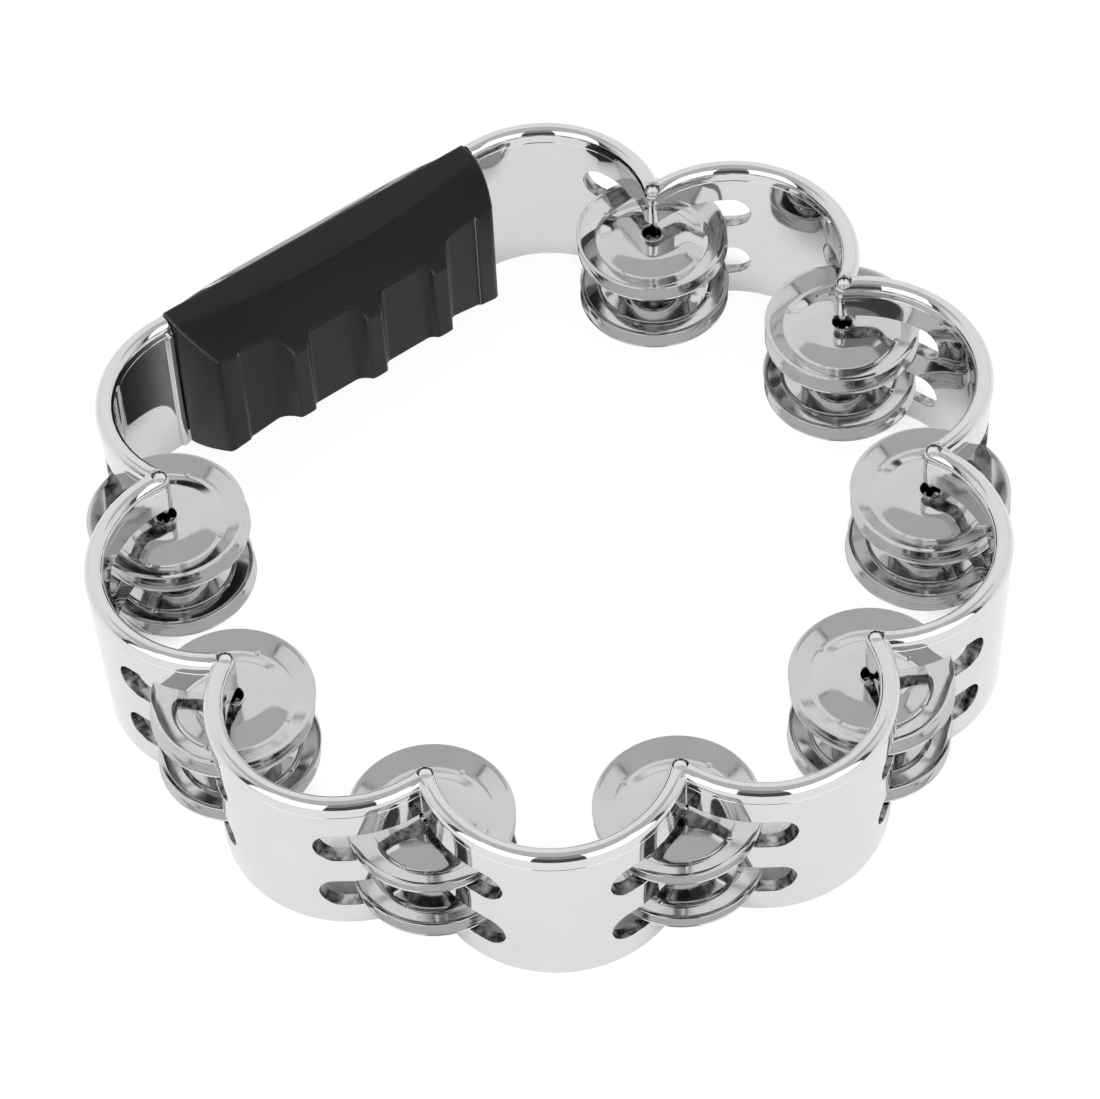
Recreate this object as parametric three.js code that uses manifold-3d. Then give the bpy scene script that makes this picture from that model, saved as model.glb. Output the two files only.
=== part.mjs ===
// A headless jingle ring: a scalloped ring frame, eight pins that each carry two pairs of dished
// discs, and a finger grip on the straight side. Millimetres and degrees, +Z up, standing on z = 0.

import * as THREE from 'three';
import { mergeVertices } from 'three/addons/utils/BufferGeometryUtils.js';
import Module from 'manifold-3d';

const wasm = await Module();
wasm.setup();

// Fits
const fitGap = 0.3;
const pinFit = 0.25;

// Ring plan: pins on a circle, a round lobe between neighbours, a straight wall for the hand
const pinCount = 8;
const pinStepAngle = 36;
const pinCircleRadius = 105;
const lobeRise = 20.8;
const handleRise = 2.8;
const endLobeShare = 0.705;

// Ring section: a plain wall under a round rail
const frameHeight = 54.6;
const wallThickness = 4.5;
const innerDraft = 1.4;
const railWidth = 5.4;
const railHeight = 4.2;
const railTopFlat = 1.4;

// Jingle slots, two tiers astride each pin, with free room above and beside the discs
const bottomBand = 8.8;
const middleBar = 10;
const discLift = 4.5;
const slotSpare = 3.7;

// Pins
const pinDiameter = 2.2;
const headDiameter = 3.5;
const headHeight = 1.5;
const headDome = 0.6;
const headRounding = 0.15;
const headSink = 1.1;
const pinFootInset = 0.6;

// Jingle discs
const discDiameter = 43.6;
const discHole = 5.3;
const discSheet = 0.5;
const discDish = 2.6;
const grooveDiameter = 32;
const plateauDiameter = 20.8;
const plateauDrop = 0.3;

// Palm swell on the outside of the straight wall
const swellRise = 3;
const swellMargin = 4.4;
const swellTaper = 18;
const swellTopDrop = 2.1;

// Stop ribs at the grip's two ends
const ribWidth = 2;
const ribRise = 1.2;

// Finger grip: depths run inwards from the straight wall's inner face
const gripEndMargin = 3.1;
const endStraightDepth = 2;
const endSlopeRatio = 0.12;
const endCurveRadius = 34.5;
const gripOverhang = 0.2;
const gripTopEase = 0.8;
const lipDepth = 16.5;
const outerGrooveDepth = 17;
const sideRidgeDepth = 22.7;
const innerGrooveDepth = 20;
const middleRidgeDepth = 24.1;
const creaseDepth = 7.6;
const creaseBow = 6;
const creaseSlopeRatio = 0.68;
const endCreaseSlopeRatio = 0.2;
const topCurveStart = 6;
const topSlopeRatio = 0.5;
const topCurveRadius = 40;
const gripFootRise = 2.4;
const footSlopeRatio = 0.385;
const footArchRise = 3.5;
const lipStepWidth = 0.9;
const outerGrooveEase = 0.8;
const lipStepRise = 0.8;
const cornerEase = 0.6;
const flankPower = 2.3;

// Finger grip: places along its length, as shares of half its front length from its middle
const middleRidgeEdgeShare = 0.053;
const innerGrooveStartShare = 0.137;
const innerGrooveEndShare = 0.407;
const sideRidgeStartShare = 0.461;
const sideRidgeEndShare = 0.568;
const outerGrooveStartShare = 0.672;
const outerGrooveEndShare = 0.857;
const lipEdgeShare = 0.985;
const footArchShare = 0.674;

// Facets
const lobeSteps = 10;
const cuspSteps = 4;
const slotEndSteps = 2;
const discSteps = 16;
const pinSteps = 8;
const crownSteps = 2;
const flankSteps = 3;
const weldDistance = 1e-4;

const degree = Math.PI / 180;
const spacing = pinStepAngle * degree;
const wallHalf = wallThickness / 2;
const railHalf = railWidth / 2;
const discHeight = discDish + discSheet;
const slotHeight = 2 * (discHeight + fitGap) + discLift;
const slotHalf = discDiameter / 2 + slotSpare;

// Plan points
const firstPinAngle = Math.PI / 2 - (2 * Math.PI - (pinCount - 1) * spacing) / 2;
const pinAngles = Array.from({ length: pinCount }, (_, i) => firstPinAngle - i * spacing);
const polar = (radius, angle) => new THREE.Vector2(radius * Math.cos(angle), radius * Math.sin(angle));
const pinPoints = pinAngles.map((angle) => polar(pinCircleRadius, angle));
const lobeReach = pinCircleRadius + lobeRise;
const handleReach = pinCircleRadius + handleRise;

// A lobe's circle passes through two neighbouring pins and reaches out by the lobe's rise.
function lobeCircle(index) {
  const middle = pinAngles[index] - spacing / 2;
  const chordDistance = pinCircleRadius * Math.cos(spacing / 2);
  const distance = (lobeReach ** 2 - pinCircleRadius ** 2) / (2 * (lobeReach - chordDistance));
  return { centre: polar(distance, middle), radius: lobeReach - distance };
}

// An end lobe's circle touches the straight wall's line and passes through the last pin. Its radius is
// a share of the pin's distance from that line.
function endCircle(pin) {
  const radius = endLobeShare * (handleReach - pin.y);
  const y = handleReach - radius;
  const reach = Math.sqrt(radius ** 2 - (pin.y - y) ** 2);
  return { centre: new THREE.Vector2(pin.x - Math.sign(pin.x) * reach, y), radius };
}

const circles = [endCircle(pinPoints[0])];
for (let i = 0; i < pinCount - 1; i += 1) circles.push(lobeCircle(i));
circles.push(endCircle(pinPoints[pinCount - 1]));

// Where two neighbouring lobes' offset circles cross, beside the pin between them.
function crossing(a, b, offset, near) {
  const span = b.centre.clone().sub(a.centre);
  const distance = span.length();
  const ra = a.radius + offset;
  const rb = b.radius + offset;
  const along = (distance ** 2 + ra ** 2 - rb ** 2) / (2 * distance);
  const aside = Math.sqrt(ra ** 2 - along ** 2);
  const unit = span.divideScalar(distance);
  const foot = a.centre.clone().addScaledVector(unit, along);
  const normal = new THREE.Vector2(-unit.y, unit.x);
  const found = [aside, -aside].map((side) => foot.clone().addScaledVector(normal, side));
  return found[0].distanceTo(near) < found[1].distanceTo(near) ? found[0] : found[1];
}

const angleFrom = (centre, point) => Math.atan2(point.y - centre.y, point.x - centre.x);

function clockwiseArc(centre, radius, from, to, steps) {
  const end = to < from ? to : to - 2 * Math.PI;
  const points = [];
  for (let i = 0; i <= steps; i += 1) {
    points.push(polar(radius, from + ((end - from) * i) / steps).add(centre));
  }
  return points;
}

// The ring's outer edge at a half width: lobes that meet in sharp notches beside the pins.
function outerLoop(half) {
  const notches = pinPoints.map((pin, i) => crossing(circles[i], circles[i + 1], half, pin));
  const loop = [];
  circles.forEach(({ centre, radius }, i) => {
    const from = i === 0 ? Math.PI / 2 : angleFrom(centre, notches[i - 1]);
    const to = i === pinCount ? Math.PI / 2 : angleFrom(centre, notches[i]);
    const arc = clockwiseArc(centre, radius + half, from, to, lobeSteps);
    loop.push(...(i === pinCount ? arc : arc.slice(0, -1)));
  });
  return loop;
}

// The ring's inner edge at a half width: lobes joined by round cusps about the pins. A lobe that is
// thinner than the cusps' radius stops where it meets them.
function innerLoop(half, cuspRadius) {
  const loop = [];
  const trim = ({ radius }) => {
    const edge = radius - half;
    return {
      atLobe: Math.acos(Math.min(1, (radius ** 2 + edge ** 2 - cuspRadius ** 2) / (2 * radius * edge))),
      atPin: Math.acos(Math.min(1, (radius ** 2 + cuspRadius ** 2 - edge ** 2) / (2 * radius * cuspRadius))),
    };
  };
  circles.forEach((circle, i) => {
    const { centre, radius } = circle;
    const { atLobe, atPin } = trim(circle);
    const from = i === 0 ? Math.PI / 2 : angleFrom(centre, pinPoints[i - 1]) - atLobe;
    const to = i === pinCount ? Math.PI / 2 : angleFrom(centre, pinPoints[i]) + atLobe;
    loop.push(...clockwiseArc(centre, radius - half, from, to, lobeSteps));
    if (i === pinCount) return;
    const next = circles[i + 1];
    const start = angleFrom(pinPoints[i], centre) - atPin;
    const turn = angleFrom(pinPoints[i], next.centre) + trim(next).atPin - start;
    const sweep = turn > 0 ? turn : turn + 2 * Math.PI;
    for (let k = 1; k < cuspSteps; k += 1) {
      loop.push(polar(cuspRadius, start + (sweep * k) / cuspSteps).add(pinPoints[i]));
    }
  });
  return loop;
}

// Booleans
function toSolid(geometry) {
  const bare = geometry.clone();
  bare.deleteAttribute('normal');
  bare.deleteAttribute('uv');
  const merged = mergeVertices(bare, weldDistance);
  const vertProperties = new Float32Array(merged.attributes.position.array);
  const triVerts = new Uint32Array(merged.index.array);
  return new wasm.Manifold(new wasm.Mesh({ numProp: 3, vertProperties, triVerts }));
}

function toGeometry(solid) {
  const mesh = solid.getMesh();
  const geometry = new THREE.BufferGeometry();
  geometry.setAttribute('position', new THREE.BufferAttribute(new Float32Array(mesh.vertProperties), 3));
  geometry.setIndex(new THREE.BufferAttribute(new Uint32Array(mesh.triVerts), 1));
  geometry.computeVertexNormals();
  return geometry;
}

function indexed(points, triangles) {
  const geometry = new THREE.BufferGeometry();
  const flat = points.flatMap((p) => [p.x, p.y, p.z]);
  geometry.setAttribute('position', new THREE.Float32BufferAttribute(flat, 3));
  geometry.setIndex(triangles);
  geometry.computeVertexNormals();
  return geometry;
}

// The band between the ring's two edges, stacked through levels of height and half width.
function ringBand(levels) {
  const points = [];
  const triangles = [];
  const rows = levels.map(({ z, half, draft = 0 }) => {
    const row = [outerLoop(half), innerLoop(half - draft, half)].map((loop) => {
      const start = points.length;
      loop.forEach((p) => points.push(new THREE.Vector3(p.x, p.y, z)));
      return { start, loop };
    });
    return row;
  });
  for (let k = 0; k < rows.length - 1; k += 1) {
    [0, 1].forEach((side) => {
      const low = rows[k][side];
      const high = rows[k + 1][side];
      const count = low.loop.length;
      for (let i = 0; i < count; i += 1) {
        const j = (i + 1) % count;
        const [a, b] = side === 0 ? [i, j] : [j, i];
        triangles.push(low.start + a, high.start + a, high.start + b);
        triangles.push(low.start + a, high.start + b, low.start + b);
      }
    });
  }
  [rows[0], rows[rows.length - 1]].forEach((row, end) => {
    const [outer, inner] = row;
    const place = (i) => (i < outer.loop.length ? outer.start + i : inner.start + i - outer.loop.length);
    const flat = outer.loop.concat(inner.loop);
    THREE.ShapeUtils.triangulateShape(outer.loop, [inner.loop]).forEach(([a, b, c]) => {
      const turn = THREE.ShapeUtils.area([flat[a], flat[b], flat[c]]);
      const upward = turn > 0 ? [a, b, c] : [a, c, b];
      const face = end === 0 ? upward.reverse() : upward;
      triangles.push(...face.map(place));
    });
  });
  return indexed(points, triangles);
}

// A prism standing on a plan outline.
function prism(outline, bottom, top) {
  const geometry = new THREE.ExtrudeGeometry(new THREE.Shape(outline), {
    depth: top - bottom,
    bevelEnabled: false,
  });
  return geometry.translate(0, 0, bottom);
}

const plan = (x, y) => new THREE.Vector2(x, y);
const mirrored = (half) => half.concat(half.map((p) => plan(-p.x, p.y)).reverse());

// A round bar or bore about a pin's axis.
function roundBar(diameter, bottom, top, at) {
  const geometry = new THREE.CylinderGeometry(diameter / 2, diameter / 2, top - bottom, pinSteps);
  geometry.rotateX(Math.PI / 2);
  return geometry.translate(at.x, at.y, (top + bottom) / 2);
}

// A turned piece: its outline is a closed profile of radius and height.
function turned(outline, steps) {
  const profile = outline.map(([radius, height]) => plan(radius, height));
  const geometry = new THREE.LatheGeometry(profile, steps);
  geometry.rotateX(Math.PI / 2);
  geometry.deleteAttribute('normal');
  geometry.deleteAttribute('uv');
  const merged = mergeVertices(geometry, weldDistance);
  merged.computeVertexNormals();
  return merged;
}

// Heights of the slots
const lowFloor = bottomBand;
const highFloor = bottomBand + slotHeight + middleBar;
const tiers = [
  { name: 'high', floor: highFloor },
  { name: 'low', floor: lowFloor },
];

// Straight wall between the end lobes, and the grip's seat on it
const straightLength = circles[0].centre.x - circles[pinCount].centre.x;
const swellLength = straightLength - 2 * swellMargin;
const swellCrest = swellLength - 2 * swellTaper;
const wallFace = handleReach - wallHalf;
const wallBack = handleReach + wallHalf;
const gripFace = wallFace - fitGap;
const gripBack = wallBack + gripOverhang;
const seatFloor = frameHeight - railHeight;
const gripHalf = straightLength / 2 - gripEndMargin;
const seatHalf = gripHalf + fitGap;

// Half the grip's length at a depth: straight beside the wall, drawn in by a round towards the front.
function gripHalfAt(depth) {
  const inward = Math.max(0, depth - endStraightDepth);
  return gripHalf - endSlopeRatio * inward - inward ** 2 / (2 * endCurveRadius);
}
const gripFrontHalf = gripHalfAt(lipDepth);

function slotCutter(pinAngle, floor) {
  const round = slotHeight / 2;
  const straight = slotHalf - round;
  const shape = new THREE.Shape();
  shape.absarc(straight, 0, round, -Math.PI / 2, Math.PI / 2, false);
  shape.absarc(-straight, 0, round, Math.PI / 2, (3 * Math.PI) / 2, false);
  const inner = pinCircleRadius - discDiameter / 2;
  const outer = lobeReach + railWidth;
  const geometry = new THREE.ExtrudeGeometry(shape, {
    depth: outer - inner,
    bevelEnabled: false,
    curveSegments: slotEndSteps,
  });
  const radial = new THREE.Vector3(Math.cos(pinAngle), Math.sin(pinAngle), 0);
  const upward = new THREE.Vector3(0, 0, 1);
  const across = new THREE.Vector3().crossVectors(upward, radial);
  const place = new THREE.Matrix4().makeBasis(across, upward, radial);
  place.setPosition(radial.x * inner, radial.y * inner, floor + round);
  return geometry.applyMatrix4(place);
}

// The rail's rounded section, from its foot to the narrow flat on its top.
function crownLevels() {
  const flatHalf = railTopFlat / 2;
  const lastAngle = Math.acos(flatHalf / railHalf);
  const levels = [];
  for (let k = 0; k <= crownSteps; k += 1) {
    const angle = (lastAngle * k) / crownSteps;
    const rise = Math.sin(angle) / Math.sin(lastAngle);
    levels.push({ z: frameHeight - railHeight * (1 - rise), half: railHalf * Math.cos(angle) });
  }
  return levels;
}

function ringFrame() {
  const railFoot = frameHeight - railHeight;
  const band = ringBand([
    { z: 0, half: wallHalf, draft: innerDraft },
    { z: railFoot, half: wallHalf },
    ...crownLevels(),
  ]);
  const swell = prism(
    mirrored([
      plan(swellLength / 2, handleReach),
      plan(swellLength / 2, wallBack),
      plan(swellCrest / 2, wallBack + swellRise),
    ]),
    0,
    frameHeight - swellTopDrop,
  );
  let frame = toSolid(band).add(toSolid(swell));
  [1, -1].forEach((side) => {
    const rib = new THREE.BoxGeometry(ribWidth, ribRise + wallHalf, railFoot);
    rib.translate(side * (seatHalf + ribWidth / 2), wallFace + (wallHalf - ribRise) / 2, railFoot / 2);
    frame = frame.add(toSolid(rib));
  });
  const seatTop = frameHeight + railHeight;
  const seatFront = wallFace - railWidth;
  const seatBack = gripBack + fitGap;
  const seat = prism(mirrored([plan(seatHalf, seatFront), plan(seatHalf, seatBack)]), seatFloor, seatTop);
  frame = frame.subtract(toSolid(seat));
  pinPoints.forEach((pin, i) => {
    tiers.forEach(({ floor }) => {
      frame = frame.subtract(toSolid(slotCutter(pinAngles[i], floor)));
    });
    frame = frame.subtract(toSolid(roundBar(pinDiameter + 2 * pinFit, -fitGap, frameHeight, pin)));
    const sunkFloor = frameHeight - headSink - headHeight - pinFit;
    frame = frame.subtract(toSolid(roundBar(headDiameter + 2 * pinFit, sunkFloor, frameHeight + fitGap, pin)));
  });
  return toGeometry(frame);
}

// A headed pin: plain shaft, low domed head sunk in the rail.
function jinglePin() {
  const top = frameHeight - headSink;
  const headFoot = top - headHeight;
  const shaft = pinDiameter / 2;
  const head = headDiameter / 2;
  return turned(
    [
      [0, pinFootInset],
      [shaft, pinFootInset],
      [shaft, headFoot],
      [head, headFoot],
      [head, top - headDome],
      [shaft, top - headRounding],
      [0, top],
    ],
    pinSteps,
  );
}

// A dished disc seen as the top one of a pair: it stands on its groove, rim and plateau up.
function jingleDisc() {
  const rim = discDiameter / 2;
  const groove = grooveDiameter / 2;
  const plateau = plateauDiameter / 2;
  const hole = discHole / 2;
  const crest = discDish - plateauDrop;
  return turned(
    [
      [hole, crest],
      [plateau, crest],
      [groove, 0],
      [rim, discDish],
      [rim, discDish + discSheet],
      [groove, discSheet],
      [plateau, crest + discSheet],
      [hole, crest + discSheet],
      [hole, crest],
    ],
    discSteps,
  );
}

// The grip's front, from its middle to its end: places along the length with a depth each.
function gripStations() {
  const flank = (ridgeAt, ridgeDepth, grooveAt, grooveDepth) => {
    const points = [];
    for (let k = 0; k <= flankSteps; k += 1) {
      const climb = 1 - k / flankSteps;
      points.push({
        x: grooveAt + (ridgeAt - grooveAt) * climb,
        depth: grooveDepth + (ridgeDepth - grooveDepth) * climb ** flankPower,
      });
    }
    return points;
  };
  const along = (share) => share * gripFrontHalf;
  const grooveEnd = along(outerGrooveEndShare);
  const grooveEndDepth = outerGrooveDepth - outerGrooveEase;
  return [
    ...flank(along(middleRidgeEdgeShare), middleRidgeDepth, along(innerGrooveStartShare), innerGrooveDepth),
    ...flank(along(sideRidgeStartShare), sideRidgeDepth, along(innerGrooveEndShare), innerGrooveDepth).reverse(),
    ...flank(along(sideRidgeEndShare), sideRidgeDepth, along(outerGrooveStartShare), outerGrooveDepth),
    { x: grooveEnd, depth: grooveEndDepth },
    { x: grooveEnd + lipStepWidth, depth: grooveEndDepth + lipStepRise },
    { x: along(lipEdgeShare), depth: lipDepth },
    { x: along(1), depth: lipDepth - cornerEase, end: true },
  ];
}

// The grip's section at a place: over the wall's top to the bowed crease, down the rounded slope, the
// front and the foot, which is arched along the length.
function gripSection({ x, depth, end }) {
  const out = end ? 1 : (x / gripHalf) ** 2;
  const crease = creaseDepth - creaseBow * out;
  const creaseSlope = creaseSlopeRatio + (endCreaseSlopeRatio - creaseSlopeRatio) * out;
  const slopeLength = depth - crease;
  const over = depth - topCurveStart;
  const fall = topSlopeRatio * over + over ** 2 / (2 * topCurveRadius);
  const middleFall = (fall + creaseSlope * slopeLength) / 4;
  const arch = footArchRise * Math.min(1, (1 - x / gripFrontHalf) / (1 - footArchShare));
  const foot = (inward) => gripFootRise + arch + footSlopeRatio * inward;
  const under = seatFloor + fitGap;
  const back = wallFace - gripBack;
  const section = [
    [back, under],
    [back, frameHeight - gripTopEase],
    [back + gripTopEase, frameHeight],
    [crease, frameHeight],
    [crease + slopeLength / 2, frameHeight - middleFall],
    [depth, frameHeight - fall],
    [depth, foot(depth)],
    [depth / 2, foot(depth / 2)],
    [fitGap, foot(fitGap)],
    [fitGap, under],
  ];
  return section.map(([inward, z]) => new THREE.Vector3(end ? gripHalfAt(inward) : x, wallFace - inward, z));
}

function fingerGrip() {
  const half = gripStations().map(gripSection);
  const flip = (section) => section.map((p) => new THREE.Vector3(-p.x, p.y, p.z));
  const sections = [...half.map(flip).reverse(), ...half];
  const count = sections[0].length;
  const points = sections.flat();
  const triangles = [];
  for (let s = 0; s < sections.length - 1; s += 1) {
    for (let i = 0; i < count; i += 1) {
      const j = (i + 1) % count;
      const a = s * count + i;
      const b = s * count + j;
      triangles.push(a, b, b + count, a, b + count, a + count);
    }
  }
  const face = sections[0].map((p) => plan(p.y, p.z));
  const last = (sections.length - 1) * count;
  THREE.ShapeUtils.triangulateShape(face, []).forEach(([a, b, c]) => {
    const turn = THREE.ShapeUtils.area([face[a], face[b], face[c]]);
    const [p, q, r] = turn > 0 ? [a, b, c] : [a, c, b];
    triangles.push(p, r, q, last + p, last + q, last + r);
  });
  return indexed(points, triangles);
}

// Finishes
const chrome = () => new THREE.MeshStandardMaterial({ color: 0xd9dadb, roughness: 0.08, metalness: 1 });
const nickel = () => new THREE.MeshStandardMaterial({ color: 0xc6c5c2, roughness: 0.16, metalness: 1 });
const steel = () => new THREE.MeshStandardMaterial({ color: 0xb4b4b4, roughness: 0.25, metalness: 1 });
const blackMoulding = () => new THREE.MeshStandardMaterial({ color: 0x2b2b2c, roughness: 0.6, metalness: 0 });

function piece(name, geometry, material) {
  const mesh = new THREE.Mesh(geometry, material);
  mesh.name = name;
  return mesh;
}

const ring = new THREE.Group();
ring.add(piece('ring_frame', ringFrame(), chrome()));
ring.add(piece('finger_grip', fingerGrip(), blackMoulding()));

const pinShape = jinglePin();
const discShape = jingleDisc();

pinPoints.forEach((pin, i) => {
  const station = new THREE.Group();
  station.position.set(pin.x, pin.y, 0);
  station.add(piece(`jingle_pin_${i + 1}`, pinShape, steel()));
  tiers.forEach(({ name, floor }) => {
    const bottom = piece(`jingle_${i + 1}_${name}_bottom`, discShape, nickel());
    bottom.position.z = floor + fitGap + discHeight;
    bottom.rotation.x = Math.PI;
    const top = piece(`jingle_${i + 1}_${name}_top`, discShape, nickel());
    top.position.z = floor + fitGap + discHeight + fitGap;
    station.add(bottom, top);
  });
  ring.add(station);
});

// The origin is under the middle of the whole ring, on the surface that it stands on.
const whole = new THREE.Box3().setFromObject(ring);
const middle = whole.getCenter(new THREE.Vector3());
ring.position.set(-middle.x, -middle.y, -whole.min.z);

const part = new THREE.Group();
part.add(ring);

export default part;
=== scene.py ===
import math
import random

import bmesh
import bpy
from mathutils import Matrix, Vector


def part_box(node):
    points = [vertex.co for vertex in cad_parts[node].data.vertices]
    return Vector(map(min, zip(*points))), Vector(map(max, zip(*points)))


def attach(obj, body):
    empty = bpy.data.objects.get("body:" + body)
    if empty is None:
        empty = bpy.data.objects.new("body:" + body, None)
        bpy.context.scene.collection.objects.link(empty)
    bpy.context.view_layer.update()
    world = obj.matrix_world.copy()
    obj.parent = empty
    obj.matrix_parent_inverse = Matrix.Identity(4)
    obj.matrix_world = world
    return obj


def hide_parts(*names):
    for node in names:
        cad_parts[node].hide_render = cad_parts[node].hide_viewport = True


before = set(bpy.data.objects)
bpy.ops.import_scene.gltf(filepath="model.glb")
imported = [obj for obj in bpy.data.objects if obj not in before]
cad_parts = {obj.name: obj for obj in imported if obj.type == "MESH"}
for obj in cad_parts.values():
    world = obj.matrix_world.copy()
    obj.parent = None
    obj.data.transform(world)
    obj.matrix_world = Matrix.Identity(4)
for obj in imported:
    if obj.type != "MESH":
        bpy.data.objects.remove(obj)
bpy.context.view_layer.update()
mm = 0.001
pinCount = 8
flatWeight = 70  # how strongly the large faces rule the shading of soft edges
random.seed(11)
print("frame loaded,", len(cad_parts), "nodes")


# Mesh helpers
def makePiece(name, points, faces):
    mesh = bpy.data.meshes.new(name)
    mesh.from_pydata([tuple(p) for p in points], [], faces)
    piece = bpy.data.objects.new(name, mesh)
    bpy.context.scene.collection.objects.link(piece)
    return piece


def weld(piece, distance=2e-6):  # joins doubled points, drops empty faces, turns faces outwards
    work = bmesh.new()
    work.from_mesh(piece.data)
    bmesh.ops.remove_doubles(work, verts=work.verts, dist=distance)
    bmesh.ops.dissolve_degenerate(work, edges=work.edges, dist=distance)
    bmesh.ops.recalc_face_normals(work, faces=work.faces)
    work.to_mesh(piece.data)
    work.free()


def smooth(piece):
    piece.data.polygons.foreach_set("use_smooth", [True] * len(piece.data.polygons))


def bakeModifiers(piece):
    graph = bpy.context.evaluated_depsgraph_get()
    baked = bpy.data.meshes.new_from_object(piece.evaluated_get(graph))
    piece.modifiers.clear()
    piece.data = baked


def evenNormals(piece, weight):  # large faces shade true up to their small rounded edges
    weighted = piece.modifiers.new("normals", "WEIGHTED_NORMAL")
    weighted.weight = weight
    bakeModifiers(piece)


def softenEdges(piece, width, fromAngle, steps):  # small moulded radii
    bevel = piece.modifiers.new("edges", "BEVEL")
    bevel.width = width
    bevel.segments = steps
    bevel.limit_method = "ANGLE"
    bevel.angle_limit = math.radians(fromAngle)
    bevel.use_clamp_overlap = False
    bevel.miter_outer = "MITER_ARC"
    evenNormals(piece, flatWeight)


def turned(name, outline, steps):  # a closed outline of radius and height, turned about Z
    points = []
    faces = []
    count = len(outline)
    for s in range(steps):
        angle = 2 * math.pi * s / steps
        for radius, height in outline:
            points.append((radius * math.cos(angle), radius * math.sin(angle), height))
        here = s * count
        there = (s + 1) % steps * count
        for k in range(count):
            after = (k + 1) % count
            faces.append((here + k, there + k, there + after, here + after))
    piece = makePiece(name, points, faces)
    weld(piece)
    smooth(piece)
    return piece


def roundedLine(corners, radii, steps):  # a line of (r, z) corners with each inner corner rounded
    line = [Vector(corners[0])]
    for before, corner, after, radius in zip(corners, corners[1:], corners[2:], radii):
        here = Vector(corner)
        back = (Vector(before) - here).normalized()
        ahead = (Vector(after) - here).normalized()
        half = back.angle(ahead) / 2
        away = radius / math.tan(half)
        start = here + back * away
        end = here + ahead * away
        for k in range(steps + 1):
            t = k / steps
            line.append(start * (1 - t) ** 2 + here * 2 * t * (1 - t) + end * t ** 2)
    line.append(Vector(corners[-1]))
    return line


# Material helpers
def newFinish(name):
    finish = bpy.data.materials.new(name)
    finish.use_nodes = True
    tree = finish.node_tree
    return finish, tree, tree.nodes["Principled BSDF"]


def link(tree, source, output, target, socket):
    tree.links.new(source.outputs[output], target.inputs[socket])


# noise in the piece's own metres, new on each piece
def noiseNode(tree, scale, detail=3.0, stretch=(1, 1, 1)):
    place = tree.nodes.new("ShaderNodeTexCoord")
    mapping = tree.nodes.new("ShaderNodeMapping")
    mapping.inputs["Scale"].default_value = stretch
    piece = tree.nodes.new("ShaderNodeObjectInfo")
    noise = tree.nodes.new("ShaderNodeTexNoise")
    noise.noise_dimensions = "4D"
    noise.inputs["Scale"].default_value = scale
    noise.inputs["Detail"].default_value = detail
    link(tree, place, "Object", mapping, "Vector")
    link(tree, mapping, "Vector", noise, "Vector")
    link(tree, piece, "Random", noise, "W")
    return noise


def spread(tree, source, output, low, high, lowOut, highOut):  # one range mapped to another
    node = tree.nodes.new("ShaderNodeMapRange")
    node.inputs["From Min"].default_value = low
    node.inputs["From Max"].default_value = high
    node.inputs["To Min"].default_value = lowOut
    node.inputs["To Max"].default_value = highOut
    link(tree, source, output, node, "Value")
    return node


def tint(tree, source, output, darker, lighter):  # a colour between two by a value
    ramp = tree.nodes.new("ShaderNodeValToRGB")
    ramp.color_ramp.elements[0].color = (*darker, 1)
    ramp.color_ramp.elements[1].color = (*lighter, 1)
    link(tree, source, output, ramp, "Fac")
    return ramp


def bumpNode(tree, source, output, strength, depth, under=None):
    bump = tree.nodes.new("ShaderNodeBump")
    bump.inputs["Strength"].default_value = strength
    bump.inputs["Distance"].default_value = depth
    link(tree, source, output, bump, "Height")
    if under:
        link(tree, under, "Normal", bump, "Normal")
    return bump


# Places of the pins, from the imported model
def pinSpot(number):
    low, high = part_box(f"jingle_pin_{number}")
    return Vector(((low.x + high.x) / 2, (low.y + high.y) / 2))


def polar(radius, angle):
    return Vector((radius * math.cos(angle), radius * math.sin(angle)))


def heading(start, end):
    return math.atan2(end.y - start.y, end.x - start.x)


pinSpots = [pinSpot(n + 1) for n in range(pinCount)]
ringMiddle = (pinSpots[1] + pinSpots[6]) / 2  # these two face each other across the ring
pinCircle = (pinSpots[1] - ringMiddle).length
pinAngles = [heading(ringMiddle, spot) for spot in pinSpots]
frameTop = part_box("ring_frame")[1].z
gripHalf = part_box("finger_grip")[1].x

# Camera, at the photograph's viewing angle
shot = dict(
    azimuth=-34.656,
    elevation=52.384,
    roll=-3.0,
    distance=966.4 * mm,
    aimAside=-16.84 * mm,  # the aim from the ring's middle, in the plane of the pin heads
    aimAhead=-24.21 * mm,
    aimHeight=53.5 * mm,
    fieldPixels=3632.6,  # focal length in pixels of the 1100 pixel wide picture
    pictureWidth=1100,
    sensor=36.0,
)
cameraRight = polar(1, math.radians(shot["azimuth"]))  # in plan
cameraSide = polar(1, math.radians(shot["azimuth"] - 90))  # in plan, from the ring towards the camera


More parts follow.
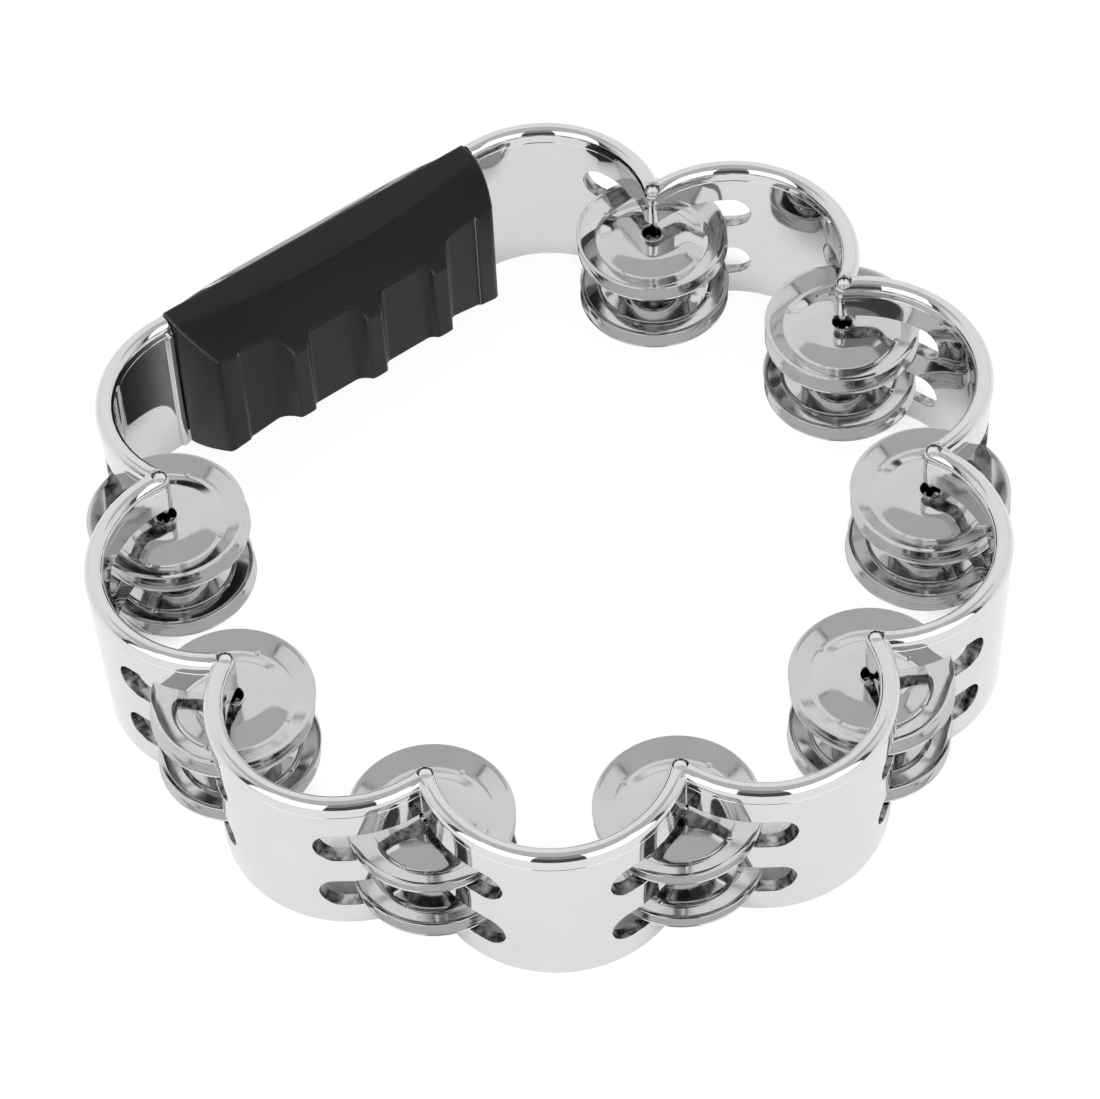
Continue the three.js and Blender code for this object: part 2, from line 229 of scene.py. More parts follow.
def addCamera():
    above = math.radians(shot["elevation"])
    roll = math.radians(shot["roll"])
    back = Vector((*(cameraSide * math.cos(above)), math.sin(above)))
    right = cameraRight.to_3d()
    up = back.cross(right)
    turnedRight = right * math.cos(roll) + up * math.sin(roll)
    turnedUp = up * math.cos(roll) - right * math.sin(roll)
    aim = Vector((ringMiddle.x + shot["aimAside"], ringMiddle.y + shot["aimAhead"], shot["aimHeight"]))
    lens = bpy.data.cameras.new("camera")
    lens.sensor_fit = "HORIZONTAL"
    lens.sensor_width = shot["sensor"]
    lens.lens = shot["fieldPixels"] / shot["pictureWidth"] * shot["sensor"]
    lens.clip_start = 0.01
    camera = bpy.data.objects.new("camera", lens)
    turn = Matrix((turnedRight, turnedUp, back)).transposed().to_4x4()
    camera.matrix_world = Matrix.Translation(aim + back * shot["distance"]) @ turn
    bpy.context.scene.collection.objects.link(camera)
    bpy.context.scene.camera = camera


addCamera()
print("camera placed")

# Ring frame: a wall with a beaded rail, lobes in plan, two tiers of slots and a palm swell
ring = dict(
    lobeRise=20.8 * mm,  # a lobe's crest beyond the pin circle
    handleRise=2.8 * mm,  # the straight wall beyond the pin circle
    endRadius=32.5 * mm,  # the two lobes beside the grip
    footHalf=2.25 * mm,  # half the wall's width at its foot
    topHalf=2.5 * mm,  # and under the rail
    draft=1.4 * mm,  # the inner face leans out towards its foot
    footEase=0.4 * mm,
    # shoulder, fine groove and the bead's lower edge: half width and drop below the top, in millimetres
    railFoot=((2.5, 4.95), (2.47, 4.8), (2.39, 4.69), (2.28, 4.65), (2.23, 4.58), (2.27, 4.5),
              (2.42, 4.46), (2.54, 4.42), (2.6, 4.3)),
    beadHalf=2.6 * mm,
    beadFlat=0.4 * mm,
    edgeRound=0.3 * mm,
    edgeAngle=62,  # sharper edges than this are rounded, in degrees
    edgeSteps=2,
    slotFloors=(8.8 * mm, 30.1 * mm),
    slotHeight=11.3 * mm,
    slotLength=51 * mm,
    seatDrop=4.2 * mm,  # the grip's seat under the rail's top
    seatGap=0.3 * mm,
    seatBack=2.75 * mm,  # the seat's back face behind the wall's middle
    swellRise=2.8 * mm,
    swellHalf=51 * mm,
    swellPower=5,
    swellDrop=2.1 * mm,
    lipEase=0.35 * mm,
    lipSteep=2,  # the lip is no higher than this many times its depth
    lipFall=0.75,  # the lip's top slopes down to the grip by this share of its height
    sunkRadius=2.1 * mm,  # the round pocket that a pin's head lies in
    sunkDepth=2.9 * mm,
    sunkSteps=40,
    slotSteps=6,
    roundSteps=8,
    crestSteps=18,
    cuspSteps=10,
    endSteps=26,
    seatSteps=44,
    crownSteps=14,
)
shoulder = frameTop - ring["railFoot"][0][1] * mm
seatFloor = frameTop - ring["seatDrop"]
seatHalf = gripHalf + ring["seatGap"]
pinStep = math.radians(36)
handleLine = ringMiddle.y + pinCircle + ring["handleRise"]
slotRound = ring["slotHeight"] / 2
slotStraight = ring["slotLength"] / 2 - slotRound


def wallHalf(z):  # half the wall's width, before the inner face's draft
    return ring["footHalf"] + (ring["topHalf"] - ring["footHalf"]) * z / shoulder


def lobeCircle(index):  # through two neighbouring pins and out to the lobe's crest
    reach = pinCircle + ring["lobeRise"]
    chord = pinCircle * math.cos(pinStep / 2)
    distance = (reach ** 2 - pinCircle ** 2) / (2 * (reach - chord))
    return ringMiddle + polar(distance, pinAngles[index] - pinStep / 2), reach - distance


def endCircle(spot):  # touches the straight wall's line and passes through the last pin
    y = handleLine - ring["endRadius"]
    reach = math.sqrt(ring["endRadius"] ** 2 - (spot.y - y) ** 2)
    return Vector((spot.x - math.copysign(reach, spot.x), y)), ring["endRadius"]


circles = [endCircle(pinSpots[0])]
circles += [lobeCircle(i) for i in range(pinCount - 1)]
circles += [endCircle(pinSpots[-1])]


def wrapped(angle, reference):  # the same angle within half a turn of a reference
    return reference + (angle - reference + math.pi) % (2 * math.pi) - math.pi


def facing(lobe):  # a direction in the middle of a lobe's arc
    centre = circles[lobe][0]
    if lobe == 0:
        return wrapped((heading(centre, pinSpots[0]) + math.pi / 2) / 2, 0)
    if lobe == pinCount:
        return math.pi - facing(0)
    return heading(ringMiddle, centre)


facings = [facing(lobe) for lobe in range(pinCount + 1)]


def notch(pin, half):  # where two lobes' outer faces meet beside a pin
    (a, radiusA), (b, radiusB) = circles[pin], circles[pin + 1]
    span = b - a
    along = (span.length_squared + (radiusA + half) ** 2 - (radiusB + half) ** 2) / (2 * span.length)
    aside = math.sqrt((radiusA + half) ** 2 - along ** 2)
    unit = span.normalized()
    foot = a + unit * along
    found = [foot + Vector((-unit.y, unit.x)) * s for s in (aside, -aside)]
    return min(found, key=lambda point: (point - pinSpots[pin]).length)


def angleAside(lobe, radius, pin, side, reach):  # where a lobe lies this far aside of a pin's radial line
    centre = circles[lobe][0]
    out = polar(1, pinAngles[pin])
    across = Vector((-out.y, out.x)) * side
    cosine = (reach - (centre - ringMiddle).dot(across)) / radius
    direction = across * cosine + out * math.sqrt(1 - cosine ** 2)
    return wrapped(math.atan2(direction.y, direction.x), facings[lobe])


def slotReach(share):  # along a slot's round end
    return slotStraight + slotRound * math.sin(share * math.pi / 2)


def lobeAngle(column, radius, first, last):
    zone, lobe, share = column
    if zone == "riseEnd":
        return angleAside(lobe, radius, lobe - 1, -1, slotReach(share))
    if zone == "fallEnd":
        return angleAside(lobe, radius, lobe, 1, slotReach(1 - share))
    if zone == "rise":
        start, stop = first, angleAside(lobe, radius, lobe - 1, -1, slotStraight)
    elif zone == "fall":
        start, stop = angleAside(lobe, radius, lobe, 1, slotStraight), last
    else:
        start = angleAside(lobe, radius, lobe - 1, -1, slotReach(1)) if lobe else math.pi / 2
        stop = angleAside(lobe, radius, lobe, 1, slotReach(1)) if lobe < pinCount else math.pi / 2
    return start + (stop - start) * share


def swellAt(x):  # the palm swell on the straight wall's outer face
    share = min(1, abs(x) / ring["swellHalf"])
    return ring["swellRise"] * (1 - share ** ring["swellPower"])


def outerPoint(column, half):
    zone, lobe, share = column
    if zone in ("wall", "seat"):
        x = share * seatHalf
        return Vector((x, handleLine + half + swellAt(x)))
    if zone == "cusp":
        return notch(lobe, half)
    centre, radius = circles[lobe]
    first = wrapped(heading(centre, notch(lobe - 1, half)), facings[lobe]) if lobe else 0
    last = wrapped(heading(centre, notch(lobe, half)), facings[lobe]) if lobe < pinCount else 0
    return centre + polar(radius + half, lobeAngle(column, radius + half, first, last))


def trims(lobe, half, cuspRadius):  # how far a thinner lobe stops short of the round cusp, seen from both
    radius = circles[lobe][1]
    edge = radius - half
    atLobe = (radius ** 2 + edge ** 2 - cuspRadius ** 2) / (2 * radius * edge)
    atPin = (radius ** 2 + cuspRadius ** 2 - edge ** 2) / (2 * radius * cuspRadius)
    return math.acos(min(1, atLobe)), math.acos(min(1, atPin))


def innerPoint(column, half, cuspRadius):
    zone, lobe, share = column
    if zone in ("wall", "seat"):
        return Vector((share * seatHalf, handleLine - half))
    if zone == "cusp":
        pin = pinSpots[lobe]
        start = heading(pin, circles[lobe][0]) - trims(lobe, half, cuspRadius)[1]
        turn = heading(pin, circles[lobe + 1][0]) + trims(lobe + 1, half, cuspRadius)[1] - start
        return pin + polar(cuspRadius, start + turn % (2 * math.pi) * share)
    centre, radius = circles[lobe]
    short = trims(lobe, half, cuspRadius)[0]
    first = wrapped(heading(centre, pinSpots[lobe - 1]), facings[lobe]) - short if lobe else 0
    last = wrapped(heading(centre, pinSpots[lobe]), facings[lobe]) + short if lobe < pinCount else 0
    return centre + polar(radius - half, lobeAngle(column, radius - half, first, last))


def frameColumns():  # places round the ring, clockwise: zone, lobe or pin, share of the zone
    columns = []
    for lobe in range(pinCount + 1):
        crest = ring["crestSteps"] if 0 < lobe < pinCount else ring["endSteps"]
        if lobe:
            columns += [("rise", lobe, k / ring["slotSteps"]) for k in range(ring["slotSteps"])]
            columns += [("riseEnd", lobe, k / ring["roundSteps"]) for k in range(ring["roundSteps"])]
        columns += [("crest", lobe, k / crest) for k in range(crest + 1)]
        if lobe < pinCount:
            columns += [("fallEnd", lobe, k / ring["roundSteps"]) for k in range(1, ring["roundSteps"] + 1)]
            columns += [("fall", lobe, k / ring["slotSteps"]) for k in range(1, ring["slotSteps"] + 1)]
            columns += [("cusp", lobe, k / ring["cuspSteps"]) for k in range(1, ring["cuspSteps"])]
    beside = 1.0001  # the rail's cut end stands just beside the seat
    columns.append(("wall", 0, -beside))
    columns += [("seat", 0, -1 + 2 * k / ring["seatSteps"]) for k in range(ring["seatSteps"] + 1)]
    columns.append(("wall", 0, beside))
    return columns


def slotOpen(column):  # half the height of the slot's opening at a column
    zone, lobe, share = column
    if zone in ("rise", "fall", "cusp"):
        return slotRound
    if zone == "riseEnd":
        return slotRound * math.cos(share * math.pi / 2)
    if zone == "fallEnd":
        return slotRound * math.cos((1 - share) * math.pi / 2)
    return 0


def railRows():  # half width and height from the wall's shoulder over the bead to its top
    rows = [(half * mm, frameTop - drop * mm) for half, drop in ring["railFoot"]]
    last = math.acos(ring["beadFlat"] / 2 / ring["beadHalf"])
    for k in range(ring["crownSteps"] + 1):
        angle = last * k / ring["crownSteps"]
        rise = ring["beadHalf"] * (1 - math.sin(angle) / math.sin(last))
        rows.append((ring["beadHalf"] * math.cos(angle), frameTop - rise))
    return rows


# behind the grip: up the swell's back, over its sloping lip and down to the seat
def lipLine(column, count):
    x, back = outerPoint(column, ring["topHalf"])
    front = min(back, handleLine + ring["seatBack"])
    height = min(ring["seatDrop"] - ring["swellDrop"], (back - front) * ring["lipSteep"])
    ease = min(ring["lipEase"], height, (back - front) / 2)
    top = seatFloor + height
    line = [(back, shoulder), (back, seatFloor), (back, top - ease), (back - ease, top)]
    line += [(front, top - height * ring["lipFall"]), (front, seatFloor)]
    picks = [round(k * (len(line) - 1) / (count - 1)) for k in range(count)]
    return [Vector((x, *line[p])) for p in picks]


def columnRows(column, rails):  # the points of one place: outer face, then inner face, from the foot up
    opening = slotOpen(column)
    heights = [0, ring["footEase"]]
    for floor in ring["slotFloors"]:
        middle = floor + slotRound
        heights += [middle - opening, middle + opening]
    outer = []
    inner = []
    for k, z in enumerate(heights):
        half = wallHalf(z) - (ring["footEase"] if k == 0 else 0)
        lean = ring["draft"] * (1 - z / shoulder)
        outer.append(Vector((*outerPoint(column, half), z)))
        inner.append(Vector((*innerPoint(column, half - lean, half), z)))
    if column[0] == "seat":
        floor = Vector((*innerPoint(column, ring["topHalf"], ring["topHalf"]), seatFloor))
        return outer + lipLine(column, len(rails)), inner + [floor] * len(rails)
    outer += [Vector((*outerPoint(column, half), z)) for half, z in rails]
    inner += [Vector((*innerPoint(column, half, half), z)) for half, z in rails]
    return outer, inner


def buildFrame():
    columns = frameColumns()
    rails = railRows()
    points = []
    starts = []
    for column in columns:
        outer, inner = columnRows(column, rails)
        starts.append((len(points), len(points) + len(outer)))
        points += outer + inner
    firstSlot = 2  # rows below the slots: the foot and its ease
    firstRail = firstSlot + 2 * len(ring["slotFloors"])
    rows = firstRail + len(rails)
    openRows = range(firstSlot, firstRail, 2)  # the slots lie between these rows and the next
    faces = []
    linings = []
    for j, (outerHere, innerHere) in enumerate(starts):
        outerNext, innerNext = starts[(j + 1) % len(starts)]
        for here, after in ((outerHere, outerNext), (innerHere, innerNext)):
            for r in range(rows - 1):
                if r not in openRows:
                    faces.append((here + r, after + r, after + r + 1, here + r + 1))
        caps = [0, rows - 1]
        if slotOpen(columns[j]) or slotOpen(columns[(j + 1) % len(columns)]):
            caps += range(firstSlot, firstRail)
        for r in caps:
            if firstSlot <= r < firstRail:
                linings.append(len(faces))
            faces.append((outerHere + r, outerNext + r, innerNext + r, innerHere + r))
    piece = makePiece("ring_shell", points, faces)
    piece.data.materials.append(platedFinish())
    # the slots' insides get the painted shade finish
    piece.data.materials.append(slotShadeFinish())
    for lining in linings:
        piece.data.polygons[lining].material_index = 1
    weld(piece)
    return piece


def sinkHeads(piece):  # round pockets for the pins' heads
    pocketTop = frameTop + ring["seatDrop"]
    pocketFoot = frameTop - ring["sunkDepth"]
    steps = ring["sunkSteps"]
    around = [polar(ring["sunkRadius"], 2 * math.pi * k / steps) for k in range(steps)]
    points = []
    faces = []
    for spot in pinSpots:
        start = len(points)
        for z in (pocketFoot, pocketTop):
            points += [(*(spot + away), z) for away in around]
        faces.append(tuple(start + k for k in reversed(range(steps))))
        faces.append(tuple(start + steps + k for k in range(steps)))
        for k in range(steps):
            after = (k + 1) % steps
            faces.append((start + k, start + after, start + steps + after, start + steps + k))
    cutter = makePiece("pockets", points, faces)
    cut = piece.modifiers.new("pockets", "BOOLEAN")
    cut.operation = "DIFFERENCE"
    cut.solver = "EXACT"
    cut.object = cutter
    bakeModifiers(piece)
    bpy.data.objects.remove(cutter)


def platedFinish():  # bright plate over a moulding: faint waves, hairline haze and cloudy handling marks
    finish, tree, shader = newFinish("bright_plate")
    shader.inputs["Metallic"].default_value = 1
    haze = noiseNode(tree, scale=45, detail=4)
    colour = tint(tree, haze, "Fac", darker=(0.68, 0.684, 0.688), lighter=(0.75, 0.753, 0.756))
    link(tree, colour, "Color", shader, "Base Color")
    smear = noiseNode(tree, scale=160, detail=5, stretch=(1, 1, 0.3))
    rough = spread(tree, smear, "Fac", low=0.35, high=0.75, lowOut=0.025, highOut=0.075)
    link(tree, rough, "Result", shader, "Roughness")
    waves = noiseNode(tree, scale=55, detail=1)
    grain = noiseNode(tree, scale=900, detail=2)
    waveBump = bumpNode(tree, waves, "Fac", strength=0.2, depth=0.0004)
    grainBump = bumpNode(tree, grain, "Fac", strength=0.05, depth=0.00004, under=waveBump)
    link(tree, grainBump, "Normal", shader, "Normal")
    return finish


def slotShadeFinish():  # inside the slots: painted shade, the plate coloured much darker than outside, with real streaks along the tool's way and a duller finish
    finish, tree, shader = newFinish("slot_lining_painted_shade")
    shader.inputs["Metallic"].default_value = 1
    streaks = noiseNode(tree, scale=480, detail=1.5, stretch=(1, 1, 0.15))
    contrast = spread(tree, streaks, "Fac", low=0.34, high=0.64, lowOut=0, highOut=1)
    # painted shade: the slots' insides are coloured from near black to grey, darker than the plate outside
    colour = tint(tree, contrast, "Result", darker=(0.09, 0.09, 0.09), lighter=(0.6, 0.6, 0.605))
    link(tree, colour, "Color", shader, "Base Color")
    rough = spread(tree, streaks, "Fac", low=0.3, high=0.7, lowOut=0.12, highOut=0.3)
    link(tree, rough, "Result", shader, "Roughness")
    bump = bumpNode(tree, streaks, "Fac", strength=0.2, depth=0.0002)
    link(tree, bump, "Normal", shader, "Normal")
    return finish


ringShell = buildFrame()
sinkHeads(ringShell)
smooth(ringShell)
softenEdges(ringShell, ring["edgeRound"], ring["edgeAngle"], ring["edgeSteps"])
plated = ringShell.data.materials[0]
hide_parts("ring_frame")
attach(ringShell, "frame")
print("ring frame built,", len(ringShell.data.polygons), "faces")

# Stop ribs beside the grip
rib = dict(
    width=2.0 * mm,
    rise=1.2 * mm,
    sink=0.8 * mm,
    foot=1.0 * mm,
    edgeRound=0.4 * mm,
    edgeAngle=40,
    edgeSteps=3,
)


def addRib(name, side):
    xs = [side * seatHalf, side * (seatHalf + rib["width"])]
    points = []
    for z in (rib["foot"], seatFloor):
        face = handleLine - wallHalf(z) + ring["draft"] * (1 - z / shoulder)
        front, back = face - rib["rise"], face + rib["sink"]
        points += [(xs[0], front, z), (xs[1], front, z), (xs[1], back, z), (xs[0], back, z)]
    faces = [(0, 1, 2, 3), (4, 5, 6, 7), (0, 1, 5, 4), (1, 2, 6, 5), (2, 3, 7, 6), (3, 0, 4, 7)]
    piece = makePiece(name, points, faces)
    weld(piece)
    smooth(piece)
    softenEdges(piece, rib["edgeRound"], rib["edgeAngle"], rib["edgeSteps"])
    piece.data.materials.append(plated)
    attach(piece, "frame")


addRib("stop_rib_right", 1)
addRib("stop_rib_left", -1)
print("stop ribs built")

# Finger grip: depths run inwards from the straight wall's inner face
grip = dict(
    wallDepth=4.5 * mm,
    overhang=0.2 * mm,
    topEase=0.7 * mm,
    gap=0.3 * mm,
    endStraight=2.0 * mm,  # beside the wall the ends run straight, then they draw in
    endSlope=0.12,
    endCurve=34.5 * mm,
    crease=7.6 * mm,  # the flat top's front edge in the middle
    creaseBow=6.0 * mm,  # how far it draws back at the ends
    creaseSlope=0.68,
    endCreaseSlope=0.2,
    crownHalf=32 * mm,  # the flat top is faintly crowned between two faint creases
    crownDrop=0.07 * mm,
    topStart=6.0 * mm,  # the front edge's height follows this curve
    topSlope=0.5,
    topCurve=40 * mm,
    footRise=2.4 * mm,
    footSlope=0.385,
    footArch=3.5 * mm,  # the foot is arched along the length
    archHalf=32 * mm,
    lip=16.5 * mm,
    lipEdge=46.7 * mm,
    lipStep=0.8 * mm,
    lipStepWidth=0.5 * mm,
    cornerEase=0.6 * mm,
    outerGroove=17.0 * mm,
    outerGrooveEase=0.8 * mm,
    innerGroove=20.0 * mm,
    sideRidge=22.7 * mm,
    middleRidge=24.1 * mm,
    middleEdge=2.5 * mm,
    innerStart=6.5 * mm,
    innerEnd=19.3 * mm,
    sideStart=21.9 * mm,
    sideEnd=26.95 * mm,
    outerStart=31.9 * mm,
    outerEnd=40.9 * mm,
    flankPower=2.3,
    edgeRound=0.6 * mm,
    edgeAngle=40,
    edgeSteps=3,
    edgeHighlightWidth=0.8 * mm,  # how far the painted highlight reaches from the edges
    flankSteps=8,
    curveSteps=9,
    spacing=1.6 * mm,  # the widest step along the length
)
gripFace = handleLine - grip["wallDepth"] / 2


def gripHalfAt(depth):
    inward = max(0, depth - grip["endStraight"])
    return gripHalf - grip["endSlope"] * inward - inward ** 2 / (2 * grip["endCurve"])


def gripFlank(ridgeAt, ridgeDepth, grooveAt, grooveDepth):  # a ridge's hollow side, steepest at the ridge
    places = []
    for k in range(grip["flankSteps"] + 1):
        climb = 1 - k / grip["flankSteps"]
        depth = grooveDepth + (ridgeDepth - grooveDepth) * climb ** grip["flankPower"]
        places.append((grooveAt + (ridgeAt - grooveAt) * climb, depth))
    return places


def gripPlaces():  # from the middle to one end: place along the length and depth there
    inner = grip["innerGroove"]
    grooveEnd = grip["outerGroove"] - grip["outerGrooveEase"]
    corners = [(0, grip["middleRidge"])]
    corners += gripFlank(grip["middleEdge"], grip["middleRidge"], grip["innerStart"], inner)
    corners += gripFlank(grip["sideStart"], grip["sideRidge"], grip["innerEnd"], inner)[::-1]
    corners += gripFlank(grip["sideEnd"], grip["sideRidge"], grip["outerStart"], grip["outerGroove"])
    corners += [(grip["outerEnd"], grooveEnd)]
    corners += [(grip["outerEnd"] + grip["lipStepWidth"], grooveEnd + grip["lipStep"])]
    corners += [(grip["lipEdge"], grip["lip"])]
    places = [corners[0]]
    for (x, depth), (nextX, nextDepth) in zip(corners, corners[1:]):
        steps = max(1, math.ceil((nextX - x) / grip["spacing"]))
        for k in range(1, steps + 1):
            places.append((x + (nextX - x) * k / steps, depth + (nextDepth - depth) * k / steps))
    return places


def crownAt(x):  # the flat top's height along the length
    share = abs(x) / grip["crownHalf"]
    past = (abs(x) - grip["crownHalf"]) / (gripHalf - grip["crownHalf"])
    return frameTop - grip["crownDrop"] * (share ** 2 if share < 1 else 1 - past)


def gripSection(x, depth, atEnd):  # over the wall's top, down the rounded slope, the front and the foot
    out = 1 if atEnd else (x / gripHalf) ** 2
    crease = grip["crease"] - grip["creaseBow"] * out
    slope = grip["creaseSlope"] + (grip["endCreaseSlope"] - grip["creaseSlope"]) * out
    length = depth - crease
    over = depth - grip["topStart"]
    fall = grip["topSlope"] * over + over ** 2 / (2 * grip["topCurve"])
    frontHalf = gripHalfAt(grip["lip"])
    arch = grip["footArch"] * min(1, (frontHalf - x) / (frontHalf - grip["archHalf"]))
    top = crownAt(gripHalf if atEnd else x)
    under = seatFloor + grip["gap"]
    back = -grip["wallDepth"] - grip["overhang"]
    shares = [k / grip["curveSteps"] for k in range(grip["curveSteps"] + 1)]
    line = [(back, under), (back, top - grip["topEase"]), (back + grip["topEase"], top)]
    for share in shares:
        level = top + (frameTop - top) * share
        drop = slope * length * share + (fall - slope * length) * share ** 2
        line.append((crease + length * share, level - drop))
    for share in shares[::-1] + [None]:
        inward = grip["gap"] if share is None else crease + length * share
        line.append((inward, grip["footRise"] + arch + grip["footSlope"] * inward))
    line.append((grip["gap"], under))
    return [Vector((gripHalfAt(inward) if atEnd else x, gripFace - inward, z)) for inward, z in line]


# an end's faces: one over the wall, then strips between the slope and the foot
def endFaces(start, count):
    slopeStart = 3
    footStart = slopeStart + grip["curveSteps"] + 1
    footEnd = footStart + grip["curveSteps"]
    faces = [[*range(slopeStart + 1), *range(footEnd, count)]]
    for k in range(grip["curveSteps"]):
        faces.append([slopeStart + k, slopeStart + k + 1, footEnd - k - 1, footEnd - k])
    return [tuple(start + k for k in face) for face in faces]


def buildGrip():
    places = gripPlaces()
    half = [gripSection(x, depth, False) for x, depth in places]
    half.append(gripSection(gripHalfAt(grip["lip"]), grip["lip"] - grip["cornerEase"], True))
    mirror = [[Vector((-p.x, p.y, p.z)) for p in section] for section in half[1:]]
    sections = mirror[::-1] + half
    count = len(sections[0])
    points = [p for section in sections for p in section]
    faces = endFaces(0, count) + endFaces((len(sections) - 1) * count, count)
    for s in range(len(sections) - 1):
        here = s * count
        there = here + count
        for k in range(count):
            after = (k + 1) % count
            faces.append((here + k, here + after, there + after, there + k))
    piece = makePiece("grip_moulding", points, faces)
    weld(piece)
    smooth(piece)
    softenEdges(piece, grip["edgeRound"], grip["edgeAngle"], grip["edgeSteps"])
    return piece


def gripFinish():  # black moulding: fine sparked grain, faint palm shine and painted highlights, a paler colour along the convex edges
    finish, tree, shader = newFinish("black_moulding")
    cloud = noiseNode(tree, scale=70, detail=4)
    plain = tint(tree, cloud, "Fac", darker=(0.008, 0.008, 0.0082), lighter=(0.014, 0.014, 0.0144))
    edges = tree.nodes.new("ShaderNodeAmbientOcclusion")
    edges.inside = True  # outer edges have little of the moulding behind them
    edges.only_local = True
    edges.inputs["Distance"].default_value = grip["edgeHighlightWidth"]
    highlightMask = spread(tree, edges, "AO", low=0.93, high=0.8, lowOut=0, highOut=1)
    # painted highlight: near its convex edges the moulding is coloured pale grey, standing in for glints of
    # light
    highlightMix = tree.nodes.new("ShaderNodeMix")
    highlightMix.data_type = "RGBA"
    highlightMix.inputs["B"].default_value = (0.24, 0.24, 0.242, 1)
    link(tree, highlightMask, "Result", highlightMix, "Factor")
    link(tree, plain, "Color", highlightMix, "A")
    link(tree, highlightMix, "Result", shader, "Base Color")
    shader.inputs["Specular IOR Level"].default_value = 0.22
    rough = spread(tree, cloud, "Fac", low=0.3, high=0.7, lowOut=0.3, highOut=0.4)
    link(tree, rough, "Result", shader, "Roughness")
    grain = noiseNode(tree, scale=2600, detail=2)
    bump = bumpNode(tree, grain, "Fac", strength=0.15, depth=0.00006)
    link(tree, bump, "Normal", shader, "Normal")
    return finish


gripPiece = buildGrip()
gripPiece.data.materials.append(gripFinish())
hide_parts("finger_grip")
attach(gripPiece, "frame")
print("finger grip built,", len(gripPiece.data.polygons), "faces")

# Pins
nail = dict(
    shaft=1.1 * mm,
    head=1.75 * mm,
    headHeight=1.5 * mm,
    dome=0.6 * mm,
    domeFoot=0.72 * mm,  # the head's straight side ends here, below its top
    domeSteps=8,
    foot=0.6 * mm,
    sink=1.1 * mm,
    steps=40,
    flatWeight=60,
)


def pinOutline():
    top = frameTop - nail["sink"]
    line = [(0, nail["foot"]), (nail["shaft"], nail["foot"]), (nail["shaft"], top - nail["headHeight"])]
    line += [(nail["head"], top - nail["headHeight"]), (nail["head"], top - nail["domeFoot"])]
    for k in range(nail["domeSteps"] + 1):
        angle = math.pi / 2 * k / nail["domeSteps"]
        line.append((nail["head"] * math.cos(angle), top - nail["dome"] * (1 - math.sin(angle))))
    return line


def steelFinish():  # bright drawn steel with fine lines along the shaft
    finish, tree, shader = newFinish("pin_steel")
    shader.inputs["Metallic"].default_value = 1
    lines = noiseNode(tree, scale=900, detail=3, stretch=(1, 1, 0.04))
    colour = tint(tree, lines, "Fac", darker=(0.74, 0.74, 0.735), lighter=(0.82, 0.82, 0.815))
    link(tree, colour, "Color", shader, "Base Color")
    rough = spread(tree, lines, "Fac", low=0.3, high=0.7, lowOut=0.08, highOut=0.2)
    link(tree, rough, "Result", shader, "Roughness")
    bump = bumpNode(tree, lines, "Fac", strength=0.1, depth=0.00005)
    link(tree, bump, "Normal", shader, "Normal")
    return finish


steel = steelFinish()
for number in range(1, pinCount + 1):
    pin = turned(f"pin_{number}", pinOutline(), nail["steps"])
    evenNormals(pin, nail["flatWeight"])
    pin.location = (*pinSpots[number - 1], 0)
    pin.data.materials.append(steel)
    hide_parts(f"jingle_pin_{number}")
    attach(pin, "frame")
print("pins built")

# Jingles: pressed discs that lie back to back in pairs
jingle = dict(
    rim=21.8 * mm,
    rimFlat=1.1 * mm,
    rimFall=0.15 * mm,
    hole=3.0 * mm,
    holeLip=0.25 * mm,  # the punched hole's edge stands up a little
    lipWidth=0.55 * mm,
    sheet=0.5 * mm,
    dish=2.6 * mm,
    groove=16.0 * mm,
    plateau=10.4 * mm,
    plateauDrop=0.3 * mm,
    rounds=(0.4 * mm, 12.0 * mm, 2.6 * mm, 1.4 * mm),
    roundSteps=8,
    edge=0.2 * mm,
    steps=120,
    flatWeight=80,
    pipAngles=(24, 118, 207, 301),
    pipCircle=16.3 * mm,
    pipRadius=0.9 * mm,
    pipRise=0.45 * mm,
    pipLift=0.2 * mm,
    pipSides=16,
    pipRings=10,
    shift=0.9 * mm,
    lean=0.5,  # degrees
    spin=9,  # degrees either way of a quarter turn
    # how far the uppermost discs lie off their pins, in millimetres: towards the camera and to its right
    topShifts={1: (1.4, -0.5), 2: (0, 0), 3: (0, 0), 4: (0, -0.6),
               5: (1.2, -0.9), 6: (1.4, 0.4), 7: (0, 0.5), 8: (0, 0)},
)


def jingleOutline():
    crest = jingle["dish"] - jingle["plateauDrop"]
    slope = jingle["dish"] / (jingle["rim"] - jingle["groove"])
    flat = jingle["rim"] - jingle["rimFlat"]
    corners = [(jingle["hole"], crest + jingle["holeLip"]), (jingle["hole"] + jingle["lipWidth"], crest)]
    corners += [(jingle["plateau"], crest), (jingle["groove"], 0)]
    corners += [(flat, slope * (flat - jingle["groove"]))]
    corners += [(jingle["rim"], jingle["dish"] - jingle["rimFall"])]
    under = roundedLine(corners, jingle["rounds"], jingle["roundSteps"])
    edge = jingle["edge"]
    sheet = Vector((0, jingle["sheet"]))
    start, end = under[0], under[-1]
    rimEdge = [end + Vector((edge, edge)), end + sheet + Vector((edge, -edge))]
    holeEdge = [start + sheet + Vector((-edge, -edge)), start + Vector((-edge, edge))]
    return under + rimEdge + [p + sheet for p in reversed(under)] + holeEdge


def addPips(piece):  # small pressed bumps near the groove
    work = bmesh.new()
    work.from_mesh(piece.data)
    for angle in jingle["pipAngles"]:
        spot = polar(jingle["pipCircle"], math.radians(angle))
        place = Matrix.Translation((*spot, jingle["sheet"] + jingle["pipLift"]))
        size = Matrix.Diagonal((1, 1, jingle["pipRise"] / jingle["pipRadius"], 1))
        bmesh.ops.create_uvsphere(work, u_segments=jingle["pipSides"], v_segments=jingle["pipRings"],
                                  radius=jingle["pipRadius"], matrix=place @ size)
    work.to_mesh(piece.data)
    work.free()
    smooth(piece)


